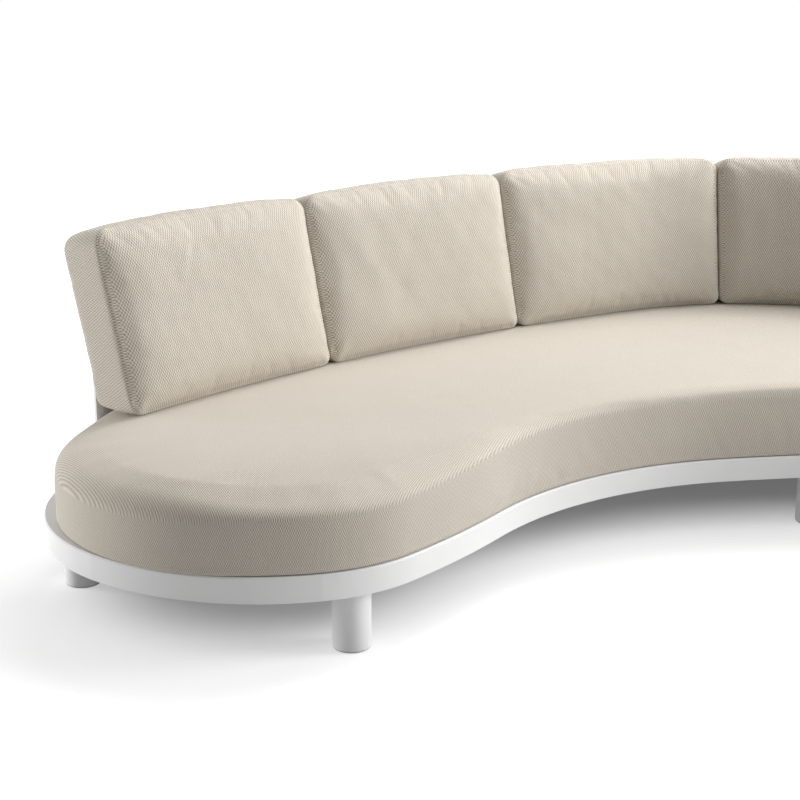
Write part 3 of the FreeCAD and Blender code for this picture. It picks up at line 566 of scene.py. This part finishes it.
# swollen pillow kept to its room between its neighbours, crowned on top and set down on the seat
def setCushion(piece, points, number, first, last, side):
    width, height, thick = last - first - cushion["gap"], cushion["height"], cushion["thick"]
    outer = number in (1, len(places))
    points[:, 0] = np.clip(points[:, 0], 0.0, width + cushion["outerSpare"] * outer)
    front = points[:, 2] < thick / 2
    softness = np.clip(points[:, 1] / cushion["softFrom"], 0, 1)
    (deep, broad), (shallow, small) = cushion["uneven"]
    uneven = deep * unevenness(points, number, broad) + shallow * unevenness(points, number + 10, small)
    points[:, 2] -= np.where(front, uneven + foldDepth(points, folds[number]), -uneven) * softness
    points[:, 2] = np.where(front, points[:, 2], np.minimum(points[:, 2], thick + cushion["rearCrown"]))
    across = np.clip(2 * points[:, 0] / width - 1, -1, 1)
    raised, crown, tilt = tops[number]
    lift = raised + crown * (1 - across ** 2) - 0.5 * side * tilt * across
    points[:, 1] += lift * np.clip(points[:, 1] / height, 0, 1) ** 2
    depth, size = cushion["topUneven"]
    points[:, 1] += depth * unevenness(points, number + 20, size) * np.clip(points[:, 1] / height, 0, 1) ** 4
    points[:, 1] = np.maximum(points[:, 1], 0.0)
    sole = points[:, 2] * math.tan(math.radians(cushion["lean"]))
    rise = sole + points[:, 1] * (height - sole) / height
    placePoints(piece.data, leaned(first + cushion["gap"] / 2 + points[:, 0], points[:, 2], rise, side))
    faceOutwards(piece.data)
    smooth(piece)


backPieces = []
places = cushionPlaces()
for number, (first, last, side) in enumerate(places, start=1):
    backPieces.append(flatCushion("backCushion" + str(number), last - first - cushion["gap"]))
swollen = swell(backPieces, [cushion["swell"]] * len(backPieces))
for number, (piece, points, (first, last, side)) in enumerate(zip(backPieces, swollen, places), start=1):
    setCushion(piece, points, number, first, last, side)
print("back cushions:", sum(len(piece.data.polygons) for piece in backPieces), "faces")


# shader maths: a value wraps a socket, and sums and products of values add their nodes
class Value:
    def __init__(self, paint, socket):
        self.paint, self.socket = paint, socket

    def maths(self, operation, *others, swap=False):
        terms = [self, *others]
        if swap:
            terms = terms[::-1]
        return self.paint.add("ShaderNodeMath", {"operation": operation}, *terms)

    def __add__(self, other): return self.maths("ADD", other)
    def __radd__(self, other): return self.maths("ADD", other)
    def __sub__(self, other): return self.maths("SUBTRACT", other)
    def __rsub__(self, other): return self.maths("SUBTRACT", other, swap=True)
    def __mul__(self, other): return self.maths("MULTIPLY", other)
    def __rmul__(self, other): return self.maths("MULTIPLY", other)
    def __pow__(self, other): return self.maths("POWER", other)
    def cosine(self): return self.maths("COSINE")
    def clamped(self): return self.maths("MAXIMUM", 0.0).maths("MINIMUM", 1.0)


# a material under construction: add makes any node from its type, settings and inputs
class Paint:
    def __init__(self, name, colour, roughness, **fixed):
        self.material = bpy.data.materials.new(name)
        self.material.use_nodes = True
        self.tree = self.material.node_tree
        self.shader = self.tree.nodes["Principled BSDF"]
        self.material.diffuse_color = (*colour, 1)
        self.set(self.shader, "Base Color", (*colour, 1))
        self.set(self.shader, "Roughness", roughness)
        for socket, value in fixed.items():
            self.set(self.shader, socket.replace("_", " "), value)

    def set(self, node, socket, value):
        target = node.inputs[socket]
        if isinstance(value, Value):
            self.tree.links.new(value.socket, target)
        else:
            target.default_value = value

    def add(self, kind, settings=None, *inputs, output=0, **named):
        node = self.tree.nodes.new(kind)
        for key, value in (settings or {}).items():
            setattr(node, key, value)
        for index, value in enumerate(inputs):
            self.set(node, index, value)
        for socket, value in named.items():
            self.set(node, socket.replace("_", " "), value)
        return Value(self, node.outputs[output])

    def blend(self, factor, first, second):
        node = self.tree.nodes.new("ShaderNodeMix")
        node.data_type = "RGBA"
        self.set(node, 0, factor)
        for index, value in ((6, first), (7, second)):
            self.set(node, index, value if isinstance(value, Value) else (*value, 1))
        return Value(self, node.outputs[2])

    def multiply(self, first, second):
        node = self.tree.nodes.new("ShaderNodeMix")
        node.data_type, node.blend_type = "RGBA", "MULTIPLY"
        for index, value in ((0, 1.0), (6, first), (7, second)):
            self.set(node, index, value)
        return Value(self, node.outputs[2])

    def bump(self, height, strength, distance):
        return self.add("ShaderNodeBump", None, Height=height, Strength=strength, Distance=distance)

    def noise(self, place, scale, detail):
        return self.add("ShaderNodeTexNoise", None, Vector=place, Scale=scale, Detail=detail)

    def finish(self, **links):
        for socket, value in links.items():
            self.set(self.shader, socket.replace("_", " "), value)
        return self.material


# woven cloth: a half drop lattice of yarn crossings, slightly heathered, with painted shade in the gaps
# between the crossings
weave = {
    "light": (0.80, 0.738, 0.65),
    # painted shade: the colour of the hollows between the yarn crossings
    "gapShade": (0.17, 0.145, 0.105),
    "across": 0.0050,  # pitch across and along the lattice, in metres
    "along": 0.0099,
    "relief": 0.0007,
    "wander": (0.0020, 110.0),  # how far the yarns stray, and the scale of its noise
    "heather": (0.3, 700.0),  # share of the colour, and scale
    "cloudy": ((0.955, 0.95, 0.945), (1.0, 1.0, 1.0), 9.0),  # tones of the broad patches, and scale
}


def clothPaint():
    paint = Paint("wovenCloth", weave["light"], 0.92, Specular_IOR_Level=0.15,
                  Sheen_Weight=0.15, Sheen_Roughness=0.5)
    uv = paint.add("ShaderNodeUVMap", {"uv_map": "cloth"})
    apart = paint.tree.nodes.new("ShaderNodeSeparateXYZ")
    paint.set(apart, 0, uv)
    stray, strayScale = weave["wander"]
    heatherShare, heatherScale = weave["heather"]
    dull, clear, cloudScale = weave["cloudy"]
    wander = (paint.noise(uv, strayScale, 1.0) - 0.5) * stray
    x, y = Value(paint, apart.outputs[0]) + wander, Value(paint, apart.outputs[1]) - wander
    heather = paint.noise(uv, heatherScale, 2.0)
    cloudy = paint.noise(uv, cloudScale, 3.0)
    across, along = x * (2 * math.pi / weave["across"]), y * (2 * math.pi / weave["along"])
    crossing = across.cosine() * along.cosine() * 0.5 + 0.5
    yarn = (crossing * 0.8 + heather * heatherShare).clamped()
    # yarn colour on the crossings, painted shade in the gaps between them
    yarnAndPaintedGapShade = paint.blend(yarn ** 0.8, weave["gapShade"], weave["light"])
    tone = paint.blend(cloudy, dull, clear)
    colour = paint.multiply(yarnAndPaintedGapShade, tone)
    raised = crossing * 0.85 + heather * 0.15
    return paint.finish(Base_Color=colour, Normal=paint.bump(raised, 1.0, weave["relief"]))


# powder coat: satin white with the faint ripple that cured powder has
def coatPaint():
    paint = Paint("powderCoat", (0.81, 0.81, 0.81), 0.42, Specular_IOR_Level=0.4)
    place = paint.add("ShaderNodeTexCoord", None, output=3)
    fine = paint.noise(place, 900.0, 2.0)
    broad = paint.noise(place, 6.0, 2.0)
    rough = broad * 0.08 + 0.38
    colour = paint.blend(broad, (0.785, 0.785, 0.785), (0.815, 0.815, 0.81))
    return paint.finish(Base_Color=colour, Roughness=rough, Normal=paint.bump(fine, 0.15, 0.0004))


# stainless bolts and nuts, finely grained
def steelPaint():
    paint = Paint("boltSteel", (0.6, 0.6, 0.61), 0.35, Metallic=1.0)
    place = paint.add("ShaderNodeTexCoord", None, output=3)
    grain = paint.noise(place, 700.0, 3.0)
    return paint.finish(Roughness=grain * 0.2 + 0.25, Normal=paint.bump(grain, 0.1, 0.0002))


# moulded plastic of the glides
def glidePaint():
    paint = Paint("glidePlastic", (0.5, 0.5, 0.49), 0.6)
    place = paint.add("ShaderNodeTexCoord", None, output=3)
    grain = paint.noise(place, 1200.0, 2.0)
    return paint.finish(Roughness=grain * 0.15 + 0.5, Normal=paint.bump(grain, 0.2, 0.0002))


cloth, coat, steel, glideFinish = clothPaint(), coatPaint(), steelPaint(), glidePaint()
slotPaint = {"powder_coat": coat, "steel": steel, "plastic": glideFinish, "fabric": cloth, "foam": cloth}
for entry in frame["record"]["subparts"]:
    mesh = nodes[entry["node"]].data
    mesh.materials.clear()
    mesh.materials.append(slotPaint[entry["material_slot"]])
print("materials ready")

# each cushion rides on its body and stands for that body's cover and foam
padded = [(seatPiece, "seat_cushion")]
padded += [(piece, "back_cushion_" + str(number)) for number, piece in enumerate(backPieces, start=1)]
for piece, body in padded:
    piece.data.materials.append(cloth)
    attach(piece, body)
    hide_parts(body + "_cover", body + "_foam")

# floor, light and camera
studio = {
    "worldLight": 0.355,
    "floor": (0.62, 0.62, 0.62),
    "floorPoints": 221,
    "floorHeight": -0.0005,
    "floorNear": 3.2,  # half width of the part with close points, and what is added beyond it
    "floorFar": 26.8,
    "underGlow": 0.08,  # white that the floor shows to the camera well under the sofa
    "openGlow": ((0.46, -0.32, 0.0), (0.35, 0.1, 1.2)),  # what is added between two distances from its edge
}


# rays that see the white background; all others see the plain light
backgroundRays = ("Is Camera Ray", "Is Glossy Ray", "Is Transmission Ray")


# signed distance of floor points from the platform's outline, below 0 inside: the outline's points,
# seen from a point inside, turn once round it
def fromOutline(flat):
    left = outlineAt(evenMarks(0.0, outlineEnd, 300), 0, plan["backLedge"])
    loop = np.concatenate([left, -left[::-1].conj()[1:]])
    following = np.roll(loop, -1)
    away = np.array([np.abs(row[:, None] - loop[None]).min(1) for row in flat])
    turned = np.array([np.angle((following[None] - row[:, None]) / (loop[None] - row[:, None])).sum(1)
                       for row in flat])
    return np.where(np.abs(turned) > 3, -away, away)


# floor grid, close near the sofa; its glow makes a white background, least under the sofa and rising with the
# distance from its outline, which paints shadow under and around the sofa on top of its lit shadow
def buildFloor():
    t = np.linspace(-1, 1, studio["floorPoints"])
    step = studio["floorNear"] * t + studio["floorFar"] * t ** 7
    x, y = np.meshgrid(step, step)
    away = fromOutline(x + 1j * y)
    opened = sum(more * eased(start, end, away) for more, start, end in studio["openGlow"])
    # painted shadow: the glow is least under the sofa and grows away from its outline
    glowing = studio["underGlow"] + opened
    place = np.stack([x, y, np.full(x.shape, studio["floorHeight"])], -1)
    mesh = bpy.data.meshes.new("floor")
    mesh.from_pydata(place.reshape(-1, 3), [], quadsOf(*x.shape))
    pointAttribute(mesh, "glow", glowing.ravel())
    floor = bpy.data.objects.new("floor", mesh)
    bpy.context.scene.collection.objects.link(floor)
    paint = Paint("floorWhite", studio["floor"], 1.0, Specular_IOR_Level=0.0)
    tree = paint.tree
    glow = tree.nodes.new("ShaderNodeEmission")
    seen = tree.nodes.new("ShaderNodeLightPath")
    both = tree.nodes.new("ShaderNodeAddShader")
    paint.set(glow, 0, (1, 1, 1, 1))
    direct, glossy, through = (Value(paint, seen.outputs[kind]) for kind in backgroundRays)
    shown = direct + glossy + through
    paint.set(glow, 1, shown * paint.add("ShaderNodeAttribute", {"attribute_name": "glow"}, output=2))
    tree.links.new(paint.shader.outputs[0], both.inputs[0])
    tree.links.new(glow.outputs[0], both.inputs[1])
    tree.links.new(both.outputs[0], tree.nodes["Material Output"].inputs["Surface"])
    floor.data.materials.append(paint.material)


# white all round for those rays, and an even soft light for the rest
def buildWorld():
    world = bpy.data.worlds.new("studio")
    bpy.context.scene.world = world
    world.use_nodes = True
    tree = world.node_tree
    back = tree.nodes["Background"]
    white = tree.nodes.new("ShaderNodeBackground")
    mix = tree.nodes.new("ShaderNodeMixShader")
    seen = tree.nodes.new("ShaderNodeLightPath")
    back.inputs[0].default_value = (1, 1, 1, 1)
    back.inputs[1].default_value = studio["worldLight"]
    white.inputs[0].default_value = (1, 1, 1, 1)
    shown = seen.outputs[backgroundRays[0]]
    for kind in backgroundRays[1:]:
        either = tree.nodes.new("ShaderNodeMath")
        either.operation = "MAXIMUM"
        tree.links.new(shown, either.inputs[0])
        tree.links.new(seen.outputs[kind], either.inputs[1])
        shown = either.outputs[0]
    tree.links.new(shown, mix.inputs[0])
    tree.links.new(back.outputs[0], mix.inputs[1])
    tree.links.new(white.outputs[0], mix.inputs[2])
    tree.links.new(mix.outputs[0], tree.nodes["World Output"].inputs[0])


# soft boxes: place, aim, width, height and power
lamps = {
    "right": ((6.0, -0.8, 2.6), (0.0, 0.0, 0.3), 3.0, 3.0, 425.0),
    "rightBack": ((4.3, 3.0, 4.4), (0.0, 0.0, 0.3), 3.5, 3.5, 225.0),
    "highBack": ((1.3, 2.5, 5.7), (0.0, 0.0, 0.3), 3.5, 3.5, 250.0),
    "leftRim": ((-5.0, 0.4, 0.55), (-1.5, -0.4, 0.3), 1.2, 0.9, 90.0),
}


def buildLamps():
    for name, (place, aim, width, height, power) in lamps.items():
        data = bpy.data.lights.new(name, "AREA")
        data.shape, data.size, data.size_y, data.energy = "RECTANGLE", width, height, power
        lamp = bpy.data.objects.new(name, data)
        lamp.location = place
        direction = Vector(aim) - Vector(place)
        lamp.rotation_euler = direction.to_track_quat("-Z", "Y").to_euler()
        bpy.context.scene.collection.objects.link(lamp)


camera = {
    "place": (-1.4917, -4.0313, 1.4747),
    "pitch": 15.96,  # degrees below level, and from north to the right
    "heading": 5.5,
    "lens": 70.0,
    "sensor": 36.0,
}


def buildCamera():
    data = bpy.data.cameras.new("photoCamera")
    data.lens, data.sensor_width = camera["lens"], camera["sensor"]
    eye = bpy.data.objects.new("photoCamera", data)
    eye.location = camera["place"]
    eye.rotation_euler = (math.radians(90 - camera["pitch"]), 0, math.radians(-camera["heading"]))
    bpy.context.scene.collection.objects.link(eye)
    bpy.context.scene.camera = eye


buildFloor()
buildWorld()
buildLamps()
buildCamera()
bpy.context.scene.view_settings.view_transform = "Standard"
print("stage ready")
